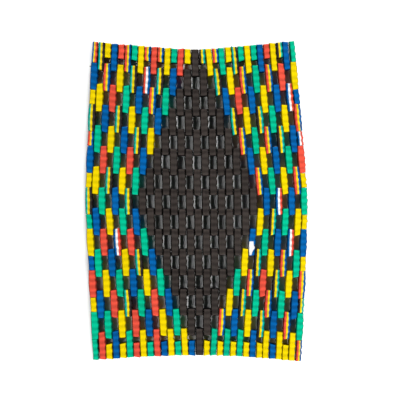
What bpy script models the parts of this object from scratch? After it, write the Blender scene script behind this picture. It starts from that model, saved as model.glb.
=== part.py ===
"""Link mat: ribbed foam rubber links threaded on sixteen steel wires, staggered like brickwork.

Frame: X across the mat, Y along it (wire 0 at +Y), Z up, in metres. The origin is the middle
of the underside. A row r of full links spans wires r and r + 1. Even rows fill the odd columns
and odd rows the even ones, so each link has an open gap before and behind it in its column.
"""
import math

import bmesh
import bpy

# Counts of the lattice
COLUMNS = 31
WIRES = 16
MIDDLE = 15
LAST_ROW = WIRES - 2

# Driving dimensions of the links
HEIGHT = 0.015
BLACK_THICKNESS = 0.0161
CORNER_THICKNESS = 0.0118
LINK_END = 0.0065
SHORT_REACH = 0.57
BULGE = 0.0009

# Driving dimensions of the whole mat
MIDDLE_LENGTH = 0.6085
TOP_RISE = {"left": 0.0164, "right": 0.0175}
TOP_POWER = 1.3
BOTTOM_DROP = {"left": 0.0102, "right": 0.0130}
BOTTOM_POWER = 1.7

# X of the middle column, and thickness of the coloured links left and right of the diamond
SECTIONS = [
    {"wire": 0.0, "middle": -0.0044, "left": 0.01345, "right": 0.01305},
    {"wire": 4.0, "middle": -0.0008, "left": 0.01350, "right": 0.01295},
    {"wire": 7.5, "middle": 0.0018, "left": 0.01350, "right": 0.01272},
    {"wire": 11.0, "middle": 0.0040, "left": 0.01380, "right": 0.01315},
    {"wire": 15.0, "middle": 0.0050, "left": 0.01398, "right": 0.01330},
]

# Driving dimensions of the wires and their bores
WIRE_RADIUS = 0.0010
BORE_RADIUS = 0.00135
WIRE_SIDES = 6
WIRE_STEP = 3
LEG = 0.0150
LEG_ROOM = 0.0004
TIP = 0.0030
TIP_WIRE = 1

# Clearances between separate pieces
FIELD_GAP = 0.00015
EDGE_PIECE_GAP = 0.0003

# Lines of points across the mat: the two edges of each band of link ends, and one in each span
LINES_A_WIRE = 3
LAST_LINE = LINES_A_WIRE * (WIRES - 1) + 1

# Colour, roughness and metallic value of each finish
FINISHES = {
    "black": ((0.053, 0.045, 0.041), 0.75, 0.0),
    "green": ((0.010, 0.550, 0.290), 0.70, 0.0),
    "teal": ((0.010, 0.500, 0.390), 0.70, 0.0),
    "blue": ((0.005, 0.115, 0.480), 0.70, 0.0),
    "yellow": ((0.900, 0.690, 0.010), 0.70, 0.0),
    "red": ((0.890, 0.086, 0.048), 0.70, 0.0),
    "steel": ((0.560, 0.560, 0.550), 0.35, 1.0),
}

# Main colour of each edge piece, from wire 0 to wire 15
EDGE_COLOURS = {
    "left": ["blue", "yellow", "red", "yellow", "green", "blue", "yellow", "green"],
    "right": ["green", "blue", "blue", "yellow", "yellow", "yellow", "teal", "red"],
}


def owner_row(column, wire):
    """Row of the link whose end lies on this wire in this column."""
    return wire if (wire + column) % 2 else wire - 1


def is_black(column, row):
    """Black links make a diamond that is widest in the middle row."""
    return abs(column - MIDDLE) <= min(row, LAST_ROW - row)


def field_of(column, row):
    """Node name of the field that a link is fused into."""
    if is_black(column, row):
        return "links_black_diamond"
    return "links_left_field" if column < MIDDLE else "links_right_field"


def edge_piece_of(column, wire):
    """Node name of the corner or spacer that fills an edge column after this wire."""
    side = "left" if column == 0 else "right"
    return f"edge_piece_{side}_{wire // 2 + 1}"


def owner(column, line):
    """Node name of the solid between this line of points and the next, or None in a gap."""
    if not (0 <= column < COLUMNS and 0 <= line < LAST_LINE):
        return None
    wire, part = divmod(line, LINES_A_WIRE)
    at_side = column in (0, COLUMNS - 1)
    if part == 0:
        row = owner_row(column, wire)
        if at_side and not 0 <= row <= LAST_ROW:
            return edge_piece_of(column, min(wire, LAST_ROW))
        return field_of(column, row)
    if (wire + column) % 2:
        return field_of(column, wire)
    if at_side:
        return edge_piece_of(column, wire)
    if (wire == 0 and part == 1) or (wire == LAST_ROW and part == 2):
        return field_of(column, -1)
    return None


def section(wire, size):
    """A size on a wire, read evenly between the rows of SECTIONS."""
    for first, last in zip(SECTIONS, SECTIONS[1:]):
        if wire <= last["wire"]:
            break
    share = (wire - first["wire"]) / (last["wire"] - first["wire"])
    return first[size] + (last[size] - first[size]) * share


def thickness(column, wire):
    """Thickness of the link end in this column on this wire."""
    row = owner_row(column, wire)
    if is_black(column, row):
        return BLACK_THICKNESS
    if column in (0, COLUMNS - 1) and not 0 <= row <= LAST_ROW:
        return CORNER_THICKNESS
    return section(wire, "left" if column < MIDDLE else "right")


def edge_x(index, wire):
    """X of the joint between columns index - 1 and index on a wire."""
    start = section(wire, "middle") - thickness(MIDDLE, wire) / 2
    if index <= MIDDLE:
        return start - sum(thickness(column, wire) for column in range(index, MIDDLE))
    return start + sum(thickness(column, wire) for column in range(MIDDLE, index))


def wire_y(index, wire):
    """Y of a wire where it passes the joint before column index."""
    across = 2.0 * index / COLUMNS - 1.0
    side = "left" if across < 0 else "right"
    top = MIDDLE_LENGTH / 2 + TOP_RISE[side] * abs(across) ** TOP_POWER
    bottom = -MIDDLE_LENGTH / 2 - BOTTOM_DROP[side] * abs(across) ** BOTTOM_POWER
    return top + (bottom - top) * wire / (WIRES - 1)


def span_share(wire):
    """Where the line in a span lies: at mid-length, or where the short links end."""
    return {0: SHORT_REACH, LAST_ROW: 1.0 - SHORT_REACH}.get(wire, 0.5)


def lattice_point(index, line):
    """Unshifted X and Y of a point of the lattice."""
    wire, part = divmod(line, LINES_A_WIRE)
    if part < 2:
        reach = LINK_END if part == 0 else -LINK_END
        return edge_x(index, wire), wire_y(index, wire) + reach
    share = span_share(wire)
    start = wire_y(index, wire) - LINK_END
    end = wire_y(index, wire + 1) + LINK_END
    x = edge_x(index, wire) + (edge_x(index, wire + 1) - edge_x(index, wire)) * share
    return x, start + (end - start) * share


def bulge_at(line):
    """How far a link's free side stands out at a line of points."""
    wire, part = divmod(line, LINES_A_WIRE)
    return BULGE if part == 2 and wire not in (0, LAST_ROW) else 0.0


def solid_point(index, line, node):
    """Point of one node's outline: bulged on free sides, set back from other nodes."""
    gap = EDGE_PIECE_GAP if node.startswith("edge_piece") else FIELD_GAP
    x, y = lattice_point(index, line)
    held = {(c, ln): owner(c, ln) for c in (index - 1, index) for ln in (line - 1, line)}

    def inside(cells):
        return any(held[cell] == node for cell in cells)

    def taken(cells):
        return any(held[cell] not in (None, node) for cell in cells)

    left = [(index - 1, line - 1), (index - 1, line)]
    right = [(index, line - 1), (index, line)]
    if inside(left) and not inside(right):
        x += -gap if taken(right) else bulge_at(line)
    elif inside(right) and not inside(left):
        x -= -gap if taken(left) else bulge_at(line)

    above = [(index - 1, line - 1), (index, line - 1)]
    below = [(index - 1, line), (index, line)]
    facing_below = [b for a, b in zip(above, below) if held[a] == node]
    facing_above = [a for a, b in zip(above, below) if held[b] == node]
    if inside(above) and not inside(below) and taken(facing_below):
        y += gap
    elif inside(below) and not inside(above) and taken(facing_above):
        y -= gap
    return x, y


def node_cells():
    """Cells of each node, as (column, line) pairs."""
    cells = {}
    for column in range(COLUMNS):
        for line in range(LAST_LINE):
            name = owner(column, line)
            if name:
                cells.setdefault(name, []).append((column, line))
    return cells


def prism(name, cells, centre):
    """One closed solid over a set of lattice cells, from the floor to the links' height."""
    mesh = bpy.data.meshes.new(name)
    solid = bmesh.new()
    points = {}

    def vertex(index, line, z):
        key = (index, line, z)
        if key not in points:
            x, y = solid_point(index, line, name)
            points[key] = solid.verts.new((x - centre[0], y - centre[1], z))
        return points[key]

    members = set(cells)
    for column, line in cells:
        corners = [(column, line), (column, line + 1), (column + 1, line + 1), (column + 1, line)]
        solid.faces.new([vertex(*corner, HEIGHT) for corner in corners])
        solid.faces.new([vertex(*corner, 0.0) for corner in reversed(corners)])
        beside = [(column - 1, line), (column, line + 1), (column + 1, line), (column, line - 1)]
        for start, end, other in zip(corners, corners[1:] + corners[:1], beside):
            if other not in members:
                wall = [(*start, HEIGHT), (*start, 0.0), (*end, 0.0), (*end, HEIGHT)]
                solid.faces.new([vertex(*corner) for corner in wall])
    solid.to_mesh(mesh)
    solid.free()
    return mesh


def wire_path(wire, centre, extra=0.0):
    """Points of a wire at mid-height: a leg, the run through all columns, and a leg.

    The ends of wires 2k and 2k + 1 are bent towards each other into the edge piece between
    them. One end is left straight and shows as a tip at the left edge.
    """
    toward = -1.0 if wire % 2 == 0 else 1.0
    run = []
    for column in range(0, COLUMNS, WIRE_STEP):
        x = (edge_x(column, wire) + edge_x(column + 1, wire)) / 2 - centre[0]
        y = (wire_y(column, wire) + wire_y(column + 1, wire)) / 2 - centre[1]
        run.append((x, y))
    leg = toward * (LEG + extra)
    first = (run[0][0], run[0][1] + leg)
    if wire == TIP_WIRE:
        first = (edge_x(0, wire) - centre[0] - TIP - extra, run[0][1])
        run = run[1:]
    return [first] + run + [(run[-1][0], run[-1][1] + leg)]


def add_tube(solid, path, radius):
    """Adds a closed tube with mitred corners along a level path to a bmesh."""
    rings = []
    for step, (x, y) in enumerate(path):
        before = path[max(step - 1, 0)]
        after = path[min(step + 1, len(path) - 1)]
        normals = []
        for start, end in ((before, (x, y)), ((x, y), after)):
            length = math.dist(start, end)
            if length > 0.0:
                normals.append(((start[1] - end[1]) / length, (end[0] - start[0]) / length))
        across = (sum(n[0] for n in normals), sum(n[1] for n in normals))
        size = math.hypot(*across)
        mitre = 1.0 / (size / len(normals))
        ring = []
        for side in range(WIRE_SIDES):
            angle = 2.0 * math.pi * side / WIRE_SIDES
            out = radius * math.cos(angle) * mitre / size
            height = HEIGHT / 2 + radius * math.sin(angle)
            ring.append(solid.verts.new((x + across[0] * out, y + across[1] * out, height)))
        rings.append(ring)
    for near, far in zip(rings, rings[1:]):
        for side in range(WIRE_SIDES):
            after_side = (side + 1) % WIRE_SIDES
            solid.faces.new([near[side], near[after_side], far[after_side], far[side]])
    solid.faces.new(reversed(rings[0]))
    solid.faces.new(rings[-1])


def tubes(name, paths, radius):
    """Mesh of one or more separate tubes, facing out."""
    mesh = bpy.data.meshes.new(name)
    solid = bmesh.new()
    for path in paths:
        add_tube(solid, path, radius)
    bmesh.ops.recalc_face_normals(solid, faces=solid.faces)
    solid.to_mesh(mesh)
    solid.free()
    return mesh


def material(name):
    """Principled material of one finish."""
    colour, roughness, metallic = FINISHES[name]
    made = bpy.data.materials.new(name)
    made.use_nodes = True
    shader = made.node_tree.nodes["Principled BSDF"]
    shader.inputs["Base Color"].default_value = (*colour, 1.0)
    shader.inputs["Roughness"].default_value = roughness
    shader.inputs["Metallic"].default_value = metallic
    return made


def add_object(name, mesh, finish, materials):
    """Links a mesh into the scene as an object with its finish."""
    if finish not in materials:
        materials[finish] = material(finish)
    mesh.materials.append(materials[finish])
    made = bpy.data.objects.new(name, mesh)
    bpy.context.scene.collection.objects.link(made)
    return made


def finish_of(node):
    """Finish that stands for a rubber node's mixed colours."""
    fields = {
        "links_black_diamond": "black",
        "links_left_field": "green",
        "links_right_field": "yellow",
    }
    if node in fields:
        return fields[node]
    side, number = node.split("_")[2:]
    return EDGE_COLOURS[side][int(number) - 1]


def mat_centre(cells):
    """Middle of the outline that all the rubber pieces share."""
    points = []
    for name, members in cells.items():
        for column, line in members:
            points.append(solid_point(column, line, name))
            points.append(solid_point(column + 1, line + 1, name))
    xs = [point[0] for point in points]
    ys = [point[1] for point in points]
    return (min(xs) + max(xs)) / 2, (min(ys) + max(ys)) / 2


def main():
    """Builds the rubber pieces, their bores and the wires."""
    for old in list(bpy.data.objects):
        bpy.data.objects.remove(old)

    cells = node_cells()
    centre = mat_centre(cells)
    materials = {}

    bore_paths = [wire_path(wire, centre, LEG_ROOM) for wire in range(WIRES)]
    bores = add_object("wire_bores", tubes("wire_bores", bore_paths, BORE_RADIUS), "steel", materials)
    bores.hide_render = True
    bores.display_type = "WIRE"

    for name, members in cells.items():
        rubber = add_object(name, prism(name, members, centre), finish_of(name), materials)
        cut = rubber.modifiers.new("wire bores", "BOOLEAN")
        cut.operation = "DIFFERENCE"
        cut.object = bores

    for wire in range(WIRES):
        name = f"wire_{wire + 1:02d}"
        add_object(name, tubes(name, [wire_path(wire, centre)], WIRE_RADIUS), "steel", materials)


main()
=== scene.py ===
"""Looks of a link mat: foam rubber links on steel wires, on a pale floor under four soft boxes.

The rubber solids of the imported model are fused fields. Each is replaced here by its separate
links, which Geometry Nodes make from one ribbed template, and the wires are drawn round with
bent ends. All sizes are in metres in the model's own frame: X across the mat, Y along it and
Z up, with the origin in the middle of the underside.
"""
from __future__ import annotations

import logging
import math
import random
from dataclasses import dataclass, field
from enum import Enum
from typing import NamedTuple

import bpy
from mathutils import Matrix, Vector


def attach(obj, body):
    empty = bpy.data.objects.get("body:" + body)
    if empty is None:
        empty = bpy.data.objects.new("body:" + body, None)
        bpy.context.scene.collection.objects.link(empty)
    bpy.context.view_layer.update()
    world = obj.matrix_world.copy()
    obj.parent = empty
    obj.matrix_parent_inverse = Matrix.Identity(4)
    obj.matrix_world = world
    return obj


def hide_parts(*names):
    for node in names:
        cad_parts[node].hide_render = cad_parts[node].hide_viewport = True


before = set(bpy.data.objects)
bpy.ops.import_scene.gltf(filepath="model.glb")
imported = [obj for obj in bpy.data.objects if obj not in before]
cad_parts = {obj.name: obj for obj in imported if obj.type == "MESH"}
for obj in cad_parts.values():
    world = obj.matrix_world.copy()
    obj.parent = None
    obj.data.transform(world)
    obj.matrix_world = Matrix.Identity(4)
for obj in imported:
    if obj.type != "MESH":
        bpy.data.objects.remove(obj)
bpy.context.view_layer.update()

LOG = logging.getLogger("link_mat")
ROOT = "root"
BRIGHTNESS = 1.89

Number = float | int
Colour = tuple[float, float, float]
Point = tuple[float, float]


def from_display(red: int, green: int, blue: int) -> Colour:
    """Turns a colour seen under the studio's lights into the share of light it reflects.

    The lights are BRIGHTNESS times as strong as it takes to show a white floor white. The
    three numbers run from 0 to 255, and the result is linear.
    """
    shares = (value / 255.0 for value in (red, green, blue))
    linear = (v / 12.92 if v <= 0.04045 else ((v + 0.055) / 1.055) ** 2.4 for v in shares)
    return tuple(value / BRIGHTNESS for value in linear)


class Wire:
    """A node's output socket with arithmetic, in a shader tree or a geometry tree."""

    def __init__(self, graph: Graph, socket: bpy.types.NodeSocket) -> None:
        """Keeps the socket and the graph it belongs to."""
        self.graph = graph
        self.socket = socket

    def __add__(self, other: Wire | Number) -> Wire:
        """Adds."""
        return self.graph.maths("ADD", self, other)

    def __radd__(self, other: Number) -> Wire:
        """Adds to a number."""
        return self.graph.maths("ADD", other, self)

    def __sub__(self, other: Wire | Number) -> Wire:
        """Subtracts."""
        return self.graph.maths("SUBTRACT", self, other)

    def __rsub__(self, other: Number) -> Wire:
        """Subtracts from a number."""
        return self.graph.maths("SUBTRACT", other, self)

    def __mul__(self, other: Wire | Number) -> Wire:
        """Multiplies."""
        return self.graph.maths("MULTIPLY", self, other)

    def __rmul__(self, other: Number) -> Wire:
        """Multiplies a number."""
        return self.graph.maths("MULTIPLY", other, self)

    def __truediv__(self, other: Wire | Number) -> Wire:
        """Divides."""
        return self.graph.maths("DIVIDE", self, other)

    def sine(self) -> Wire:
        """Sine of an angle in radians."""
        return self.graph.maths("SINE", self)

    def absolute(self) -> Wire:
        """Distance from zero."""
        return self.graph.maths("ABSOLUTE", self)

    def between(self, low: Number, high: Number) -> Wire:
        """Rises smoothly from 0 at low to 1 at high, and stays within them."""
        settings = {"interpolation_type": "SMOOTHSTEP"}
        values = {"Value": self, "From Min": low, "From Max": high}
        return self.graph.add("ShaderNodeMapRange", settings, values)[0]


class Graph:
    """A node tree that is filled by plain calls."""

    def __init__(self, tree: bpy.types.NodeTree) -> None:
        """Keeps the tree."""
        self.tree = tree

    def add(self, kind: str, settings: dict | None = None, values: dict | None = None) -> list[Wire]:
        """Adds one node.

        Args:
            kind: The node's type.
            settings: Properties of the node, set before its sockets.
            values: A value or a Wire for each named or numbered input.

        Returns:
            The node's outputs, in order.
        """
        node = self.tree.nodes.new(kind)
        for name, value in (settings or {}).items():
            if name == "stops":
                self.set_stops(node.color_ramp, value)
            else:
                setattr(node, name, value)
        for key, value in (values or {}).items():
            socket = node.inputs[key]
            if isinstance(value, Wire):
                self.tree.links.new(value.socket, socket)
            else:
                socket.default_value = value
        return [Wire(self, socket) for socket in node.outputs]

    @staticmethod
    def set_stops(ramp: bpy.types.ColorRamp, stops: list[tuple[float, Colour]]) -> None:
        """Gives a ramp its stops, with a hard change of colour at each one."""
        ramp.interpolation = "CONSTANT"
        while len(ramp.elements) < len(stops):
            ramp.elements.new(1.0)
        while len(ramp.elements) > len(stops):
            ramp.elements.remove(ramp.elements[-1])
        for element, (place, colour) in zip(ramp.elements, stops):
            element.position = place
            element.color = (*colour, 1.0)

    def maths(self, operation: str, *terms: Wire | Number) -> Wire:
        """Adds a Math node on one or two terms and returns its result."""
        return self.add("ShaderNodeMath", {"operation": operation}, dict(enumerate(terms)))[0]

    def blend(self, factor: Wire | Number, first: Wire | Colour, second: Wire | Colour) -> Wire:
        """Mixes two colours.

        Args:
            factor: 0 gives the first colour and 1 the second.
            first: Colour at 0.
            second: Colour at 1.

        Returns:
            The mixed colour.
        """
        ends = [end if isinstance(end, Wire) else (*end, 1.0) for end in (first, second)]
        values = {0: factor, 6: ends[0], 7: ends[1]}
        return self.add("ShaderNodeMix", {"data_type": "RGBA"}, values)[2]

    def vector(self, x: Wire | Number, y: Wire | Number, z: Wire | Number) -> Wire:
        """Joins three numbers into a vector."""
        return self.add("ShaderNodeCombineXYZ", None, {0: x, 1: y, 2: z})[0]


class ShaderGraph(Graph):
    """Node tree of one material."""

    def __init__(self, name: str) -> None:
        """Makes the material with an empty tree but for its shader and output."""
        self.material = bpy.data.materials.new(name)
        self.material.use_nodes = True
        super().__init__(self.material.node_tree)
        self.shader = self.tree.nodes["Principled BSDF"]

    def attribute(self, name: str) -> Wire:
        """Reads a number that the mesh carries."""
        return self.add("ShaderNodeAttribute", {"attribute_name": name})[2]

    def place(self, scale: tuple[float, float, float]) -> Wire:
        """Object coordinates, stretched by the scale."""
        here = self.add("ShaderNodeTexCoord")[3]
        return self.add("ShaderNodeMapping", None, {"Vector": here, "Scale": scale})[0]

    def noise(self, scale: tuple[float, float, float], detail: float = 2.0) -> Wire:
        """Noise from 0 to 1 whose grains are one over the scale, in metres."""
        values = {"Vector": self.place(scale), "Scale": 1.0, "Detail": detail}
        return self.add("ShaderNodeTexNoise", None, values)[0]

    def bump(self, height: Wire, distance: float, strength: float) -> Wire:
        """Turns a height from 0 to 1 into a normal."""
        values = {"Height": height, "Distance": distance, "Strength": strength}
        return self.add("ShaderNodeBump", None, values)[0]

    def finish(self, **values: Wire | Number | Colour) -> bpy.types.Material:
        """Sets the shader's sockets by name, with _ for a space, and returns the material."""
        for name, value in values.items():
            socket = self.shader.inputs[name.replace("_", " ")]
            if isinstance(value, Wire):
                self.tree.links.new(value.socket, socket)
            elif isinstance(value, tuple):
                socket.default_value = (*value, 1.0)
            else:
                socket.default_value = value
        return self.material


class GeometryGraph(Graph):
    """Geometry Nodes tree with named inputs for its sizes."""

    def __init__(self, name: str, sizes: dict[str, Number | bpy.types.Object]) -> None:
        """Makes the tree's own inputs and its geometry output.

        Args:
            name: The tree's name.
            sizes: Value of each named input, whose type follows from the value.
        """
        super().__init__(bpy.data.node_groups.new(name, "GeometryNodeTree"))
        self.sizes = sizes
        kinds = {float: "NodeSocketFloat", int: "NodeSocketInt", bpy.types.Object: "NodeSocketObject"}
        face = self.tree.interface
        face.new_socket("Geometry", in_out="INPUT", socket_type="NodeSocketGeometry")
        for label, value in sizes.items():
            face.new_socket(label, in_out="INPUT", socket_type=kinds[type(value)])
        face.new_socket("Geometry", in_out="OUTPUT", socket_type="NodeSocketGeometry")
        outputs = self.add("NodeGroupInput")
        self.start = outputs[0]
        self.inputs = dict(zip(sizes, outputs[1:]))

    def named(self, name: str, kind: str = "FLOAT") -> Wire:
        """Reads an attribute of the geometry."""
        settings = {"data_type": kind}
        return self.add("GeometryNodeInputNamedAttribute", settings, {"Name": name})[0]

    def chance(self, low: float, high: float, offset: int) -> Wire:
        """A random number for each point, from the tree's seed and an offset of its own."""
        values = {2: low, 3: high, "Seed": self.inputs["Seed"] + offset}
        return self.add("FunctionNodeRandomValue", {"data_type": "FLOAT"}, values)[1]

    def store(self, geometry: Wire, name: str, value: Wire, kind: str = "FLOAT") -> Wire:
        """Keeps a value on the geometry's points under a name."""
        settings = {"data_type": kind, "domain": "POINT"}
        values = {"Geometry": geometry, "Name": name, "Value": value}
        return self.add("GeometryNodeStoreNamedAttribute", settings, values)[0]

    def parts(self, vector: Wire) -> list[Wire]:
        """X, Y and Z of a vector."""
        return self.add("ShaderNodeSeparateXYZ", None, {0: vector})

    def end(self, geometry: Wire) -> None:
        """Joins the result to the tree's output."""
        self.add("NodeGroupOutput", None, {0: geometry})

    def apply(self, source: bpy.types.Mesh, name: str) -> bpy.types.Object:
        """Runs the tree on a mesh and keeps the result as a plain object.

        Args:
            source: Mesh that the tree starts from.
            name: Name of the finished object.

        Returns:
            The object, with no modifier left.
        """
        made = bpy.data.objects.new(name, source)
        bpy.context.scene.collection.objects.link(made)
        modifier = made.modifiers.new(self.tree.name, "NODES")
        modifier.node_group = self.tree
        for item in self.tree.interface.items_tree:
            if item.in_out == "INPUT" and item.name in self.sizes:
                modifier[item.identifier] = self.sizes[item.name]
        bpy.context.view_layer.update()
        graph = bpy.context.evaluated_depsgraph_get()
        mesh = bpy.data.meshes.new_from_object(made.evaluated_get(graph), depsgraph=graph)
        made.modifiers.remove(modifier)
        made.data = mesh
        mesh.name = name
        return made


class Foam(Enum):
    """Kinds of foam rubber sheet that the links are cut from."""

    BLACK = 0
    GREEN = 1
    BLUE = 2
    YELLOW = 3
    RED = 4
    TEAL_LAYERS = 5
    PRIMARY_LAYERS = 6
    WHITE_LAYERS = 7
    PRINTED = 8


# Grains for each metre, in X, Y and Z.
STREAK_GRAIN = (2600.0, 45.0, 900.0)
CLOUD_GRAIN = (70.0, 70.0, 70.0)
PORE_GRAIN = (1500.0, 1500.0, 1500.0)
PRINT_GRAIN = (320.0, 320.0, 320.0)
WIRE_GRAIN = (150.0, 3000.0, 3000.0)


@dataclass(frozen=True)
class WornPrint:
    """What is left of an old print, a blot across part of the thickness.

    Attributes:
        colour: The print's colour.
        start: Where it fades in, as shares of the link's length.
        end: Where it fades out.
        widest: Where it is widest.
        half_width: Half its width there, as a share of the thickness.
        centre: Its middle there, across the thickness.
        lean: How fast it moves aside away from there.
        ragged: How far its edge wanders.
        soft: Half the width of its edge.
    """

    colour: Colour
    start: tuple[float, float] = (0.460, 0.475)
    end: tuple[float, float] = (0.955, 0.975)
    widest: float = 0.68
    half_width: float = 0.45
    centre: float = 0.46
    lean: float = 0.6
    ragged: float = 0.35
    soft: float = 0.03

    def cover(self, colour: Wire, graph: ShaderGraph, across: Wire) -> Wire:
        """Lays the print over a colour; across runs from 0 to 1 over the thickness."""
        along = graph.attribute("along")
        off = (along - self.widest).absolute()
        ragged = (graph.noise(PRINT_GRAIN, 1.0) - 0.5) * self.ragged
        inside = self.half_width - off - (across - self.centre + off * self.lean).absolute() + ragged
        held = along.between(*self.start) - along.between(*self.end)
        return graph.blend(inside.between(-self.soft, self.soft) * held, colour, self.colour)


@dataclass(frozen=True)
class FoamFinish:
    """Look of one foam sheet, seen on its cut edge.

    Attributes:
        name: The material's name.
        layers: Share of the thickness and colour of each glued layer.
        light: Brightness painted on top of a rib as a highlight, as a share of the colour.
        dark: Brightness painted between two ribs as shade.
        low_side_shade: Brightness low on the sides, a painted shade that darkens them towards the
            floor.
        unshaded: Share of the height where the painted shade ends and where the unshaded part starts.
        mark: A worn print on the top, or None.
    """

    name: str
    layers: tuple[tuple[float, Colour], ...]
    light: float = 1.16
    dark: float = 0.74
    low_side_shade: float = 0.36
    unshaded: tuple[float, float] = (0.88, 1.0)
    mark: WornPrint | None = None

    def stops(self, gain: float) -> list[tuple[float, Colour]]:
        """Ramp stops across the thickness, with every colour scaled by the gain."""
        stops, place = [], 0.0
        for share, colour in self.layers:
            stops.append((place, tuple(min(1.0, value * gain) for value in colour)))
            place += share
        return stops

    def build(self) -> bpy.types.Material:
        """Makes the material.

        Returns:
            A rubber material in the link's own layers, with painted highlight and shade on its ribs
            and painted shade low on its sides.
        """
        graph = ShaderGraph(self.name)
        tone = graph.attribute("tone")
        streaks = graph.noise(STREAK_GRAIN)
        clouds = graph.noise(CLOUD_GRAIN, 3.0)
        pores = graph.noise(PORE_GRAIN, 1.0)
        # Rib bands: the colour is painted lighter as a highlight on rib tops and darker as shade
        # between ribs.
        rib = ((graph.attribute("wave") + (clouds - 0.5) * 0.5) * math.tau).sine()

        across = graph.attribute("across") + 0.5 + (clouds - 0.5) * 0.12
        rib_top_highlight = graph.add("ShaderNodeValToRGB", {"stops": self.stops(self.light)}, {0: across})[0]
        hollow = graph.add("ShaderNodeValToRGB", {"stops": self.stops(self.dark)}, {0: across})[0]
        level = 0.5 + rib * 0.42 + tone * 0.20 + (streaks - 0.5) * 0.5 + (clouds - 0.5) * 0.5
        colour = graph.blend(level.between(-0.15, 1.15), hollow, rib_top_highlight)
        if self.mark:
            colour = self.mark.cover(colour, graph, across)

        # Painted shade: the sides are darkened towards the floor, fading out near the top of the
        # link.
        unshaded = graph.attribute("up").between(*self.unshaded)
        colour = graph.blend(self.low_side_shade + (1.0 - self.low_side_shade) * unshaded, (0.0, 0.0, 0.0), colour)

        relief = streaks * 0.5 + pores * 0.5
        return graph.finish(
            Base_Color=colour,
            Roughness=0.62 + (clouds - 0.5) * 0.25,
            Normal=graph.bump(relief, 0.0004, 0.5),
            Specular_IOR_Level=0.02,
        )


GREEN = from_display(2, 196, 150)
TEAL = from_display(0, 186, 168)
BLUE = from_display(4, 99, 172)
YELLOW = from_display(252, 222, 2)
RED = from_display(244, 88, 68)
CHARCOAL = from_display(60, 54, 51)
WHITE = from_display(255, 255, 252)

# Every finish paints shade low on the link sides, deepest on black foam, and paints rib highlights
# and shade.
FINISHES = {
    Foam.BLACK: FoamFinish("charcoal_foam", ((1.0, CHARCOAL),), light=1.35, dark=0.62, low_side_shade=0.06),
    Foam.GREEN: FoamFinish("green_foam", ((1.0, GREEN),)),
    Foam.BLUE: FoamFinish("blue_foam", ((1.0, BLUE),), light=1.22, dark=0.70),
    Foam.YELLOW: FoamFinish("yellow_foam", ((1.0, YELLOW),), light=1.08, dark=0.82),
    Foam.RED: FoamFinish("coral_red_foam", ((1.0, RED),)),
    Foam.TEAL_LAYERS: FoamFinish(
        "teal_yellow_black_layers", ((0.35, TEAL), (0.30, YELLOW), (0.35, CHARCOAL))
    ),
    Foam.PRIMARY_LAYERS: FoamFinish(
        "red_yellow_blue_layers", ((0.40, RED), (0.27, YELLOW), (0.33, BLUE))
    ),
    Foam.WHITE_LAYERS: FoamFinish(
        "red_white_blue_layers", ((0.36, RED), (0.30, WHITE), (0.34, BLUE))
    ),
    Foam.PRINTED: FoamFinish("blue_foam_with_old_print", ((1.0, BLUE),), mark=WornPrint(WHITE)),
}


@dataclass(frozen=True)
class SteelFinish:
    """Galvanised wire.

    Attributes:
        colour: Colour between its dull streaks.
        dull: Brightness of the dull streaks, as a share of the colour.
    """

    colour: Colour = from_display(150, 150, 148)
    dull: float = 0.7

    def build(self) -> bpy.types.Material:
        """Makes the material, with fine streaks along the wire."""
        graph = ShaderGraph("galvanised_steel")
        streaks = graph.noise(WIRE_GRAIN)
        darker = tuple(value * self.dull for value in self.colour)
        return graph.finish(
            Base_Color=graph.blend(streaks, darker, self.colour),
            Roughness=0.30 + streaks * 0.2,
            Metallic=1.0,
            Normal=graph.bump(streaks, 0.0001, 0.3),
        )


class Section(NamedTuple):
    """Sizes across the mat on one wire.

    Attributes:
        wire: The wire's number, from 0.
        middle: X of the middle column.
        left: Thickness of the coloured links left of the diamond.
        right: Thickness of the coloured links right of it.
    """

    wire: float
    middle: float
    left: float
    right: float


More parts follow.
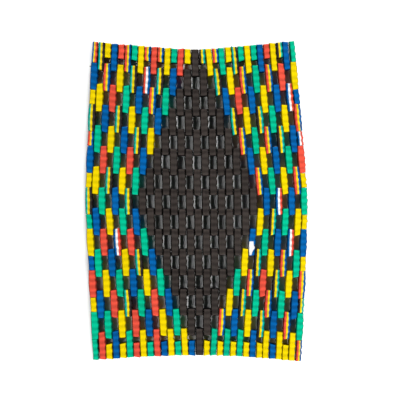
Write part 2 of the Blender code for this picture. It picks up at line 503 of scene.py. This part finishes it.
@dataclass(frozen=True)
class MatLayout:
    """Places of the wires and links, from the same sizes as the solids.

    Attributes:
        columns: Number of columns.
        wires: Number of wires.
        middle: The middle column, which the others are counted from.
        black_thickness: Thickness of the black links.
        corner_thickness: Thickness of the corner pieces.
        link_end: How far a link reaches past each of its wires.
        short_reach: Share of the first span that the short links cover.
        middle_length: Distance from the first wire to the last in the middle.
        top_rise: How much further up the first wire is at its left and right ends.
        bottom_drop: How much further down the last wire is at its ends.
        centre: Middle of the outline, which becomes the origin.
        sections: Sizes that change evenly from one listed wire to the next.
    """

    columns: int = 31
    wires: int = 16
    middle: int = 15
    black_thickness: float = 0.0161
    corner_thickness: float = 0.0118
    link_end: float = 0.0065
    short_reach: float = 0.57
    middle_length: float = 0.6085
    top_rise: tuple[float, float] = (0.0164, 0.0175)
    top_power: float = 1.3
    bottom_drop: tuple[float, float] = (0.0102, 0.0130)
    bottom_power: float = 1.7
    centre: Point = (-0.00125, 0.0017)
    sections: tuple[Section, ...] = (
        Section(0.0, -0.0044, 0.01345, 0.01305),
        Section(4.0, -0.0008, 0.01350, 0.01295),
        Section(7.5, 0.0018, 0.01350, 0.01272),
        Section(11.0, 0.0040, 0.01380, 0.01315),
        Section(15.0, 0.0050, 0.01398, 0.01330),
    )

    @property
    def last_row(self) -> int:
        """Number of the last row of full links."""
        return self.wires - 2

    def owner_row(self, column: int, wire: int) -> int:
        """Row of the link whose end lies on this wire in this column."""
        return wire if (wire + column) % 2 else wire - 1

    def is_black(self, column: int, row: int) -> bool:
        """Whether a link belongs to the diamond, which is widest in the middle row."""
        return abs(column - self.middle) <= min(row, self.last_row - row)

    def section(self, wire: float) -> Section:
        """Sizes on a wire, read evenly between the listed sections."""
        pairs = zip(self.sections, self.sections[1:])
        first, last = next(pair for pair in pairs if wire <= pair[1].wire)
        share = (wire - first.wire) / (last.wire - first.wire)
        return Section(*(low + (high - low) * share for low, high in zip(first, last)))

    def thickness(self, column: int, wire: int) -> float:
        """Thickness of the link end in a column on a wire."""
        row = self.owner_row(column, wire)
        if self.is_black(column, row):
            return self.black_thickness
        if column in (0, self.columns - 1) and not 0 <= row <= self.last_row:
            return self.corner_thickness
        section = self.section(wire)
        return section.left if column < self.middle else section.right

    def edge_x(self, index: int, wire: int) -> float:
        """X of the joint before column index on a wire."""
        middle = self.section(wire).middle - self.centre[0]
        start = middle - self.thickness(self.middle, wire) / 2
        if index <= self.middle:
            return start - sum(self.thickness(c, wire) for c in range(index, self.middle))
        return start + sum(self.thickness(c, wire) for c in range(self.middle, index))

    def wire_y(self, index: float, wire: int) -> float:
        """Y of a wire where it passes the joint before column index."""
        across = 2.0 * index / self.columns - 1.0
        side = 0 if across < 0 else 1
        half = self.middle_length / 2
        top = half + self.top_rise[side] * abs(across) ** self.top_power
        bottom = -half - self.bottom_drop[side] * abs(across) ** self.bottom_power
        return top + (bottom - top) * wire / (self.wires - 1) - self.centre[1]

    def crossing(self, column: int, wire: int) -> Point:
        """Middle of a column on a wire."""
        x = (self.edge_x(column, wire) + self.edge_x(column + 1, wire)) / 2
        return x, self.wire_y(column + 0.5, wire)

    def side(self, column: int) -> float:
        """-1.0 left of the middle column and 1.0 right of it."""
        return -1.0 if column < self.middle else 1.0

    def slope(self, column: int, wire: int) -> float:
        """How much a wire rises from one side of a column to the other, as a share."""
        rise = self.wire_y(column + 1, wire) - self.wire_y(column, wire)
        return rise / self.thickness(column, wire)


# Steps in column and row to the threaded links that a new one should differ from.
NEAR_BY = ((-1, -1), (1, -1), (-2, 0), (0, -2))
MIRRORED_ON_THE_RIGHT = (Foam.TEAL_LAYERS, Foam.WHITE_LAYERS)


@dataclass
class Link:
    """One rubber link, described for the Geometry Nodes tree.

    Attributes:
        top: Middle of the end nearer the first wire.
        bottom: Middle of the other end.
        widths: Thickness at the top and bottom ends.
        slopes: Slope of the two ends.
        bulge: How far each side stands out at mid-length.
        side: -1.0 left of the diamond, 1.0 right of it and 0.0 inside it.
        foam: The sheet that it is cut from.
        turned: Whether its layers run the other way than on most links of its side.
    """

    top: Point
    bottom: Point
    widths: Point
    slopes: Point
    bulge: float
    side: float
    foam: Foam
    turned: bool = False

    @property
    def values(self) -> dict[str, float]:
        """The link's named attributes."""
        return {
            "length": self.top[1] - self.bottom[1],
            "lean": self.bottom[0] - self.top[0],
            "width_top": self.widths[0],
            "width_bottom": self.widths[1],
            "slope_top": self.slopes[0],
            "slope_bottom": self.slopes[1],
            "bulge": self.bulge,
            "side": self.side,
            "flip": self.flip,
        }

    @property
    def flip(self) -> float:
        """-1.0 where the layers run from right to left and 1.0 elsewhere."""
        mirrored = self.side > 0.0 and self.foam in MIRRORED_ON_THE_RIGHT
        return 1.0 if mirrored == self.turned else -1.0

    @property
    def middle(self) -> Vector:
        """The point half-way between the ends."""
        return Vector(((self.top[0] + self.bottom[0]) / 2, (self.top[1] + self.bottom[1]) / 2, 0.0))


# How many links of each kind the mat has left and right of its diamond, and as short links.
LEFT_BAG = {
    Foam.YELLOW: 19,
    Foam.BLUE: 19,
    Foam.GREEN: 17,
    Foam.RED: 13,
    Foam.TEAL_LAYERS: 11,
    Foam.PRIMARY_LAYERS: 3,
    Foam.WHITE_LAYERS: 2,
}
RIGHT_BAG = {
    Foam.YELLOW: 20,
    Foam.GREEN: 17,
    Foam.BLUE: 17,
    Foam.PRIMARY_LAYERS: 13,
    Foam.TEAL_LAYERS: 10,
    Foam.RED: 4,
    Foam.WHITE_LAYERS: 3,
}
SHORT_BAG = {
    Foam.YELLOW: 11,
    Foam.GREEN: 6,
    Foam.BLUE: 3,
    Foam.RED: 3,
    Foam.PRIMARY_LAYERS: 3,
    Foam.TEAL_LAYERS: 2,
}


@dataclass
class ThreadingOrder:
    """Order in which a maker takes the coloured links out of three mixed bags.

    The seeds are plain numbers that shuffle the bags.
    """

    left_seed: int = 1
    right_seed: int = 2
    edge_seed: int = 3
    turn_seed: int = 7
    turned_share: float = 0.15

    def __post_init__(self) -> None:
        """Shuffles the bags."""
        self.left = self.shuffled(LEFT_BAG, self.left_seed)
        self.right = self.shuffled(RIGHT_BAG, self.right_seed)
        self.edge = self.shuffled(SHORT_BAG, self.edge_seed)
        self.turns = random.Random(self.turn_seed)

    @staticmethod
    def take(bag: list[Foam], touching: list[Foam | None]) -> Foam:
        """Takes a bag's next link that differs from those it will touch, or just the next."""
        chosen = next((foam for foam in bag if foam not in touching), bag[0])
        bag.remove(chosen)
        return chosen

    def turned(self) -> bool:
        """Whether the maker threads this link the other way round than most."""
        return self.turns.random() < self.turned_share

    @staticmethod
    def shuffled(bag: dict[Foam, int], seed: int) -> list[Foam]:
        """Links of a bag in a mixed order that a seed fixes."""
        order = [foam for foam, count in bag.items() for _ in range(count)]
        random.Random(seed).shuffle(order)
        return order


@dataclass
class LinkField:
    """All rubber links, each in the piece that stands for its solid.

    Attributes:
        layout: Places of the wires and links.
        joint: Gap left between two coloured link ends on a wire.
        black_joint: Gap left between two black ones.
        bulge: How far a coloured link's sides stand out at mid-length.
        black_bulge: The same for a black link.
        spacer_inset: How much narrower an edge piece is than a link.
        edge_gap: Gap between an edge piece and the link next to it.
        printed: Column and row of the link with an old print.
        turned_piece: The edge piece whose layers run the other way.
        threaded: Kinds of the full links made so far, by column and row.
    """

    layout: MatLayout
    order: ThreadingOrder
    joint: float = 0.0007
    black_joint: float = 0.0009
    bulge: float = 0.0010
    black_bulge: float = 0.0007
    spacer_inset: float = 0.0015
    edge_gap: float = 0.0003
    printed: tuple[int, int] = (22, 9)
    turned_piece: str = "edge_piece_left_1"
    threaded: dict[tuple[int, int], Foam] = field(default_factory=dict)

    def full_links(self) -> dict[str, list[Link]]:
        """Full links of all rows, by the node they belong to."""
        plan = self.layout
        made: dict[str, list[Link]] = {name: [] for name in FIELD_SLOTS}
        for row in range(plan.last_row + 1):
            for column in range((row + 1) % 2, plan.columns, 2):
                node, foam = self.choose(column, row)
                packed = row in (0, plan.last_row)
                bulge = self.black_bulge if foam is Foam.BLACK else self.bulge
                made[node].append(self.between_wires(column, row, foam, 0.0 if packed else bulge))
        return made

    def choose(self, column: int, row: int) -> tuple[str, Foam]:
        """Node and foam of a full link."""
        if self.layout.is_black(column, row):
            return "links_black_diamond", Foam.BLACK
        left = column < self.layout.middle
        touching = [self.threaded.get((column + x, row + y)) for x, y in NEAR_BY]
        if column in (0, self.layout.columns - 1):
            pieces = EDGE_PIECES["left" if left else "right"]
            touching += [foam for foam, _ in pieces[row // 2 : row // 2 + 2]]
        foam = self.order.take(self.order.left if left else self.order.right, touching)
        self.threaded[column, row] = foam
        if (column, row) == self.printed:
            foam = Foam.PRINTED
        return ("links_left_field" if left else "links_right_field"), foam

    def between_wires(self, column: int, row: int, foam: Foam, bulge: float) -> Link:
        """A link threaded on two wires, which reaches past both of them."""
        plan = self.layout
        first, second = plan.crossing(column, row), plan.crossing(column, row + 1)
        lean = (second[0] - first[0]) / (first[1] - second[1]) * plan.link_end
        black = foam is Foam.BLACK
        joint = self.black_joint if black else self.joint
        return Link(
            top=(first[0] - lean, first[1] + plan.link_end),
            bottom=(second[0] + lean, second[1] - plan.link_end),
            widths=tuple(plan.thickness(column, wire) - joint for wire in (row, row + 1)),
            slopes=(plan.slope(column, row), plan.slope(column, row + 1)),
            bulge=bulge,
            side=0.0 if black else plan.side(column),
            foam=foam,
            turned=self.order.turned(),
        )

    def short_links(self) -> dict[str, list[Link]]:
        """Short links between the full ones on the first and last wires."""
        plan = self.layout
        made: dict[str, list[Link]] = {name: [] for name in FIELD_SLOTS}
        for wire, toward in ((0, -1.0), (plan.wires - 1, 1.0)):
            beyond = wire + 1 if wire == 0 else wire - 1
            for column in range(2, plan.columns - 1, 2):
                here, there = plan.crossing(column, wire), plan.crossing(column, beyond)
                span = abs(here[1] - there[1]) - 2 * plan.link_end
                reach = plan.link_end + plan.short_reach * span
                ends = [here[1] - toward * plan.link_end, here[1] + toward * reach]
                shift = (there[0] - here[0]) * reach / abs(here[1] - there[1])
                spots = [(here[0], ends[0]), (here[0] + shift, ends[1])]
                if wire:
                    spots.reverse()
                width = plan.thickness(column, wire) - self.joint
                slope = plan.slope(column, wire)
                row = min(wire, plan.last_row)
                beside = [self.threaded.get((column + step, row)) for step in (-1, 1)]
                short = Link(
                    top=spots[0],
                    bottom=spots[1],
                    widths=(width, width),
                    slopes=(slope, slope),
                    bulge=0.0,
                    side=plan.side(column),
                    foam=self.order.take(self.order.edge, beside),
                    turned=self.order.turned(),
                )
                left = column < plan.middle
                made["links_left_field" if left else "links_right_field"].append(short)
        return made

    def edge_pieces(self) -> dict[str, Link]:
        """Corner pieces and spacers of both edge columns, by their nodes' names."""
        plan = self.layout
        made = {}
        for side, column in (("left", 0), ("right", plan.columns - 1)):
            for number, (foam, _) in enumerate(EDGE_PIECES[side]):
                wire = 2 * number
                first, second = plan.crossing(column, wire), plan.crossing(column, wire + 1)
                reach = -(plan.link_end + self.edge_gap)
                above = plan.link_end if wire == 0 else reach
                below = plan.link_end if wire == plan.last_row else reach
                widths = [plan.thickness(column, spot) - self.joint for spot in (wire, wire + 1)]
                spacer = min(widths + [plan.thickness(column, wire) - self.spacer_inset])
                out = plan.side(column) * (plan.thickness(column, wire) - spacer - self.joint) / 2
                name = f"edge_piece_{side}_{number + 1}"
                made[name] = Link(
                    top=(first[0] + out, first[1] + above),
                    bottom=(second[0] + out, second[1] - below),
                    widths=(spacer, spacer),
                    slopes=(plan.slope(column, wire), plan.slope(column, wire + 1)),
                    bulge=0.0,
                    side=plan.side(column),
                    foam=foam,
                    turned=name == self.turned_piece,
                )
        return made


FIELD_SLOTS = {
    "links_left_field": "green_foam",
    "links_black_diamond": "black_foam",
    "links_right_field": "yellow_foam",
}

EDGE_PIECES = {
    "left": (
        (Foam.PRIMARY_LAYERS, "blue_foam"),
        (Foam.YELLOW, "yellow_foam"),
        (Foam.PRIMARY_LAYERS, "red_foam"),
        (Foam.YELLOW, "yellow_foam"),
        (Foam.GREEN, "green_foam"),
        (Foam.BLUE, "blue_foam"),
        (Foam.YELLOW, "yellow_foam"),
        (Foam.GREEN, "green_foam"),
    ),
    "right": (
        (Foam.GREEN, "green_foam"),
        (Foam.BLUE, "blue_foam"),
        (Foam.WHITE_LAYERS, "blue_foam"),
        (Foam.YELLOW, "yellow_foam"),
        (Foam.YELLOW, "yellow_foam"),
        (Foam.YELLOW, "yellow_foam"),
        (Foam.TEAL_LAYERS, "teal_foam"),
        (Foam.PRIMARY_LAYERS, "red_foam"),
    ),
}


# How much the links differ by chance: brightness, height, slopes of both ends, start of the
# ribs, length and sideways shift at mid-length.
CHANCES = {
    "tone": (-1.0, 1.0),
    "drop": (0.0, 0.0007),
    "tilt": (-0.04, 0.24),
    "cut": (-0.02, 0.26),
    "phase": (0.15, 0.35),
    "stretch": (-0.0010, 0.0010),
    "shift": (-0.0007, 0.0007),
}


@dataclass
class LinkMaker:
    """Makes links from one ribbed template by Geometry Nodes.

    Attributes:
        materials: Material of each kind of foam.
        height: Height of a link on its edge.
        rib_pitch: Length of one rib wave along a link.
        rib_dip: Depth of the hollow between two ribs on the top.
        rib_side: How far a rib widens the link at each side.
        sway: How far a rib carries the whole thickness to one side.
        worn_in: How far the worn corners along the top reach inwards.
        worn_down: How far they reach down.
        usual_thickness: Thickness of the link that worn_in is meant for.
        end_share: Share of a link's length over which each end is worn.
        steps: Spans of the template between its worn ends.
        seed: Seed of everything random.
    """

    materials: dict[Foam, bpy.types.Material]
    height: float = 0.015
    rib_pitch: float = 0.0130
    rib_dip: float = 0.0006
    rib_side: float = 0.00050
    sway: float = 0.00045
    worn_in: float = 0.0017
    worn_down: float = 0.0028
    usual_thickness: float = 0.0133
    end_share: float = 0.02
    steps: int = 11
    seed: int = 5

    def __post_init__(self) -> None:
        """Makes the template and the tree."""
        self.template = self.build_template()
        self.graph = self.build_graph()

    def build_template(self) -> bpy.types.Object:
        """A link of unit size: X across, Y from 0 at its top end to -1, Z up.

        Returns:
            An object whose long edges and end edges are sharp.
        """
        inset = self.worn_in / self.usual_thickness
        drop = self.worn_down / self.height
        body = 1.0 - 2 * self.end_share
        places = [self.end_share + body * step / self.steps for step in range(self.steps + 1)]
        points = []
        for place in (0.0, *places, 1.0):
            top = 1.0 if 0.0 < place < 1.0 else 1.0 - drop / 2
            points += [
                (-0.5, -place, 0.0),
                (0.5, -place, 0.0),
                (0.5, -place, 1.0 - drop),
                (0.5 - inset, -place, top),
                (inset - 0.5, -place, top),
                (-0.5, -place, 1.0 - drop),
            ]
        count = 6
        rings = range(0, len(points), count)
        faces = [tuple(range(count - 1, -1, -1)), tuple(range(rings[-1], len(points)))]
        faces.append(tuple([ring + 1 for ring in rings] + list(reversed(rings))))
        for near in rings[:-1]:
            for side in range(1, count):
                after = (side + 1) % count
                faces.append((near + side, near + after, near + count + after, near + count + side))
        mesh = bpy.data.meshes.new("link_template")
        mesh.from_pydata(points, [], faces)
        mesh.update()
        sharp = mesh.attributes.new("sharp_edge", "BOOLEAN", "EDGE")
        for edge in mesh.edges:
            first, second = (points[i] for i in edge.vertices)
            at_end = first[1] == second[1] and not -places[-1] < first[1] < -places[0]
            sharp.data[edge.index].value = at_end or first[1] != second[1]
        return bpy.data.objects.new("link_template", mesh)

    def build_graph(self) -> GeometryGraph:
        """The tree that puts a template on each point and shapes it by the point's sizes.

        Returns:
            The finished tree.
        """
        graph = GeometryGraph(
            "threaded_links",
            {
                "Template": self.template,
                "Height": self.height,
                "Rib Pitch": self.rib_pitch,
                "Rib Dip": self.rib_dip,
                "Rib Side": self.rib_side,
                "Sway": self.sway,
                "Seed": self.seed,
            },
        )
        size = graph.inputs
        points = graph.start
        place = graph.add("GeometryNodeInputPosition")[0]
        points = graph.store(points, "place", place, "FLOAT_VECTOR")
        for offset, (label, (low, high)) in enumerate(CHANCES.items(), 1):
            points = graph.store(points, label, graph.chance(low, high, offset))

        template = graph.add("GeometryNodeObjectInfo", None, {"Object": size["Template"]})[4]
        template = graph.store(template, "form", place, "FLOAT_VECTOR")
        values = {"Points": points, "Instance": template}
        links = graph.add("GeometryNodeInstanceOnPoints", None, values)[0]
        links = graph.add("GeometryNodeRealizeInstances", None, {0: links})[0]

        across, down, up = graph.parts(graph.named("form", "FLOAT_VECTOR"))
        along = 0.0 - down
        x, y, _ = graph.parts(graph.named("place", "FLOAT_VECTOR"))
        length = graph.named("length") + graph.named("stretch")
        waves = along * length / size["Rib Pitch"] + graph.named("phase")
        rib = (waves * math.tau).sine()
        middle = (along * math.pi).sine()

        width = graph.named("width_top") * (1.0 - along) + graph.named("width_bottom") * along
        width = width + 2.0 * middle * (graph.named("bulge") + rib * size["Rib Side"])
        new_x = x + graph.named("lean") * (along - 0.5) + across * width
        new_x = new_x + middle * (rib * size["Sway"] + graph.named("shift"))
        side = graph.named("side")
        slope_top = (graph.named("slope_top") - side * graph.named("tilt")) * (1.0 - along)
        slope_bottom = (graph.named("slope_bottom") + side * graph.named("cut")) * along
        new_y = y + (0.5 - along) * length + across * width * (slope_top + slope_bottom)
        hollow = (1.0 - rib) * 0.5 * size["Rib Dip"]
        new_z = up * (size["Height"] - graph.named("drop") - hollow)

        spot = graph.vector(new_x, new_y, new_z)
        links = graph.add("GeometryNodeSetPosition", None, {"Geometry": links, "Position": spot})[0]
        links = graph.store(links, "wave", waves)
        links = graph.store(links, "across", across * graph.named("flip"))
        links = graph.store(links, "along", along)
        links = graph.store(links, "up", up)
        for foam, material in self.materials.items():
            settings = {"data_type": "INT", "operation": "EQUAL"}
            kind = {2: graph.named("foam", "INT"), 3: foam.value}
            chosen = graph.add("FunctionNodeCompare", settings, kind)[0]
            values = {"Geometry": links, "Selection": chosen, "Material": material}
            links = graph.add("GeometryNodeSetMaterial", None, values)[0]
        graph.end(links)
        return graph

    def make(self, name: str, links: list[Link]) -> bpy.types.Object:
        """Makes the links of one node as one piece.

        Args:
            name: The piece's name.
            links: The links that it holds.

        Returns:
            The finished object.
        """
        mesh = bpy.data.meshes.new(name + "_points")
        mesh.from_pydata([link.middle for link in links], [], [])
        for label in links[0].values:
            layer = mesh.attributes.new(label, "FLOAT", "POINT")
            layer.data.foreach_set("value", [link.values[label] for link in links])
        kinds = mesh.attributes.new("foam", "INT", "POINT")
        kinds.data.foreach_set("value", [link.foam.value for link in links])
        made = self.graph.apply(mesh, name)
        for label in {"place", "form", *CHANCES, *links[0].values} - {"tone"}:
            spent = made.data.attributes.get(label)
            if spent:
                made.data.attributes.remove(spent)
        return made


@dataclass
class Wires:
    """The steel wires, drawn round, with their ends bent into the edge pieces.

    Attributes:
        radius: Half the wire's thickness.
        height: Height of the wires above the floor.
        bend: Radius of a bend.
        bend_steps: Corners that make up a bend.
        sides: Sides of the wire.
        leg: Length of a bent end.
        tip: How far the one straight end stands out of the left edge.
        tip_wire: The wire with the straight end.
    """

    layout: MatLayout
    material: bpy.types.Material
    radius: float = 0.001
    height: float = 0.0075
    bend: float = 0.0025
    bend_steps: int = 4
    sides: int = 10
    leg: float = 0.015
    tip: float = 0.003
    tip_wire: int = 1

    def path(self, wire: int) -> list[Vector]:
        """Points of one wire from its left end to its right end."""
        plan = self.layout
        toward = self.leg if wire % 2 else -self.leg
        run = [plan.crossing(column, wire) for column in range(plan.columns)]
        left = (run[0][0], run[0][1] + toward)
        right = (run[-1][0], run[-1][1] + toward)
        if wire == self.tip_wire:
            left = (plan.edge_x(0, wire) - self.tip, run[0][1])
        return [Vector((x, y, self.height)) for x, y in [left, *run, right]]

    def make(self) -> bpy.types.Object:
        """Makes all wires as one piece."""
        graph = GeometryGraph("round_wires", {"Radius": self.radius, "Bend": self.bend})
        curve = graph.add("GeometryNodeMeshToCurve", None, {0: graph.start})[0]
        values = {"Curve": curve, "Radius": graph.inputs["Bend"], "Count": self.bend_steps}
        curve = graph.add("GeometryNodeFilletCurve", {"mode": "POLY"}, values)[0]
        values = {"Resolution": self.sides, "Radius": graph.inputs["Radius"]}
        ring = graph.add("GeometryNodeCurvePrimitiveCircle", None, values)[0]
        values = {"Curve": curve, "Profile Curve": ring, "Fill Caps": True}
        tube = graph.add("GeometryNodeCurveToMesh", None, values)[0]
        values = {"Geometry": tube, "Material": self.material}
        graph.end(graph.add("GeometryNodeSetMaterial", None, values)[0])

        points: list[Vector] = []
        edges: list[tuple[int, int]] = []
        for wire in range(self.layout.wires):
            path = self.path(wire)
            start = len(points)
            points += path
            edges += [(start + i, start + i + 1) for i in range(len(path) - 1)]
        mesh = bpy.data.meshes.new("wire_lines")
        mesh.from_pydata(points, edges, [])
        return graph.apply(mesh, "wires")


@dataclass(frozen=True)
class SoftBox:
    """A square soft box that faces the mat.

    Attributes:
        name: The light's name.
        turn: Direction that it stands in, in degrees from +X towards +Y.
        height: Its angle above the floor, in degrees.
        size: Length of its sides.
        share: What it adds to the brightness of a white floor.
    """

    name: str
    turn: float
    height: float
    size: float
    share: float

    def make(self, distance: float) -> None:
        """Makes the light at a distance from the mat's middle."""
        turn, height = math.radians(self.turn), math.radians(self.height)
        flat = math.cos(height)
        place = distance * Vector((flat * math.cos(turn), flat * math.sin(turn), math.sin(height)))
        data = bpy.data.lights.new(self.name, "AREA")
        data.shape = "SQUARE"
        data.size = self.size
        data.energy = self.share * (math.pi * distance) ** 2 / math.sin(height)
        light = bpy.data.objects.new(self.name, data)
        light.location = place
        light.rotation_euler = (-place).to_track_quat("-Z", "Y").to_euler()
        bpy.context.scene.collection.objects.link(light)


@dataclass
class Studio:
    """Pale floor, soft boxes, a faint sky and the camera straight above the mat.

    Attributes:
        frame_width: Width of the picture on the mat's top face.
        distance: Camera's height above that face.
        aim: Point of the mat in the middle of the picture.
        top: Height of the mat's top face.
        light_distance: Distance of the soft boxes from the mat.
        sky: What the sky adds to the brightness of a white floor.
        floor_half: Half the width of the floor.
        floor_drop: How far the floor lies under the mat.
        floor_white: Share of light that the floor reflects.
    """

    frame_width: float = 0.812
    distance: float = 1.35
    aim: Point = (0.0074, 0.0030)
    top: float = 0.015
    sensor: float = 36.0
    light_distance: float = 2.6
    sky: float = 0.002
    floor_half: float = 4.0
    floor_drop: float = 0.0002
    floor_white: float = 0.90
    boxes: tuple[SoftBox, ...] = (
        SoftBox("soft_box_right", 0.0, 40.0, 0.35, 0.69),
        SoftBox("soft_box_left", 180.0, 49.0, 0.70, 0.15),
        SoftBox("soft_box_near", -90.0, 17.0, 0.80, 0.55),
        SoftBox("soft_box_far", 90.0, 17.0, 0.80, 0.52),
    )

    def make_camera(self) -> None:
        """Makes the camera, level and looking straight down."""
        data = bpy.data.cameras.new("camera")
        data.sensor_width = self.sensor
        data.lens = self.sensor * self.distance / self.frame_width
        camera = bpy.data.objects.new("camera", data)
        camera.location = (self.aim[0], self.aim[1], self.top + self.distance)
        bpy.context.scene.collection.objects.link(camera)
        bpy.context.scene.camera = camera

    def make_sky(self) -> None:
        """Makes the sky that lights what the soft boxes don't reach."""
        world = bpy.data.worlds.new("studio")
        world.use_nodes = True
        background = world.node_tree.nodes["Background"]
        background.inputs["Color"].default_value = (1.0, 1.0, 1.0, 1.0)
        background.inputs["Strength"].default_value = self.sky
        bpy.context.scene.world = world

    def make_floor(self) -> None:
        """Makes the floor, which isn't part of the mat."""
        graph = ShaderGraph("pale_floor")
        graph.finish(Base_Color=(self.floor_white,) * 3, Roughness=0.9)
        half = self.floor_half
        corners = [(-half, -half, 0.0), (half, -half, 0.0), (half, half, 0.0), (-half, half, 0.0)]
        mesh = bpy.data.meshes.new("floor")
        mesh.from_pydata(corners, [], [(0, 1, 2, 3)])
        mesh.materials.append(graph.material)
        floor = bpy.data.objects.new("floor", mesh)
        floor.location.z = -self.floor_drop
        bpy.context.scene.collection.objects.link(floor)

    def make(self) -> None:
        """Makes the whole studio."""
        self.make_camera()
        for box in self.boxes:
            box.make(self.light_distance)
        self.make_sky()
        self.make_floor()
        bpy.context.scene.view_settings.view_transform = "Standard"


def seat(piece: bpy.types.Object, nodes: list[str]) -> None:
    """Puts a finished piece in the place of its solids.

    Args:
        piece: The finished object.
        nodes: Nodes that it stands for.
    """
    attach(piece, ROOT)
    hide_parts(*nodes)
    LOG.info("%s: %d faces for %s", piece.name, len(piece.data.polygons), ", ".join(nodes))


def main() -> None:
    """Builds the studio, the links and the wires."""
    logging.basicConfig(level=logging.INFO, format="%(message)s")
    Studio().make()

    layout = MatLayout()
    links = LinkField(layout, ThreadingOrder())
    maker = LinkMaker({foam: finish.build() for foam, finish in FINISHES.items()})
    full, short = links.full_links(), links.short_links()
    for node, slot in FIELD_SLOTS.items():
        piece = maker.make(node.replace("links", "threaded"), full[node] + short[node])
        seat(piece, [node])
    slots = [slot for side in EDGE_PIECES.values() for _, slot in side]
    for (node, link), slot in zip(links.edge_pieces().items(), slots):
        seat(maker.make(node.replace("edge_piece", "end_link"), [link]), [node])

    steel = SteelFinish().build()
    names = [f"wire_{wire + 1:02d}" for wire in range(layout.wires)]
    seat(Wires(layout, steel).make(), names)


if __name__ == "__main__":
    main()
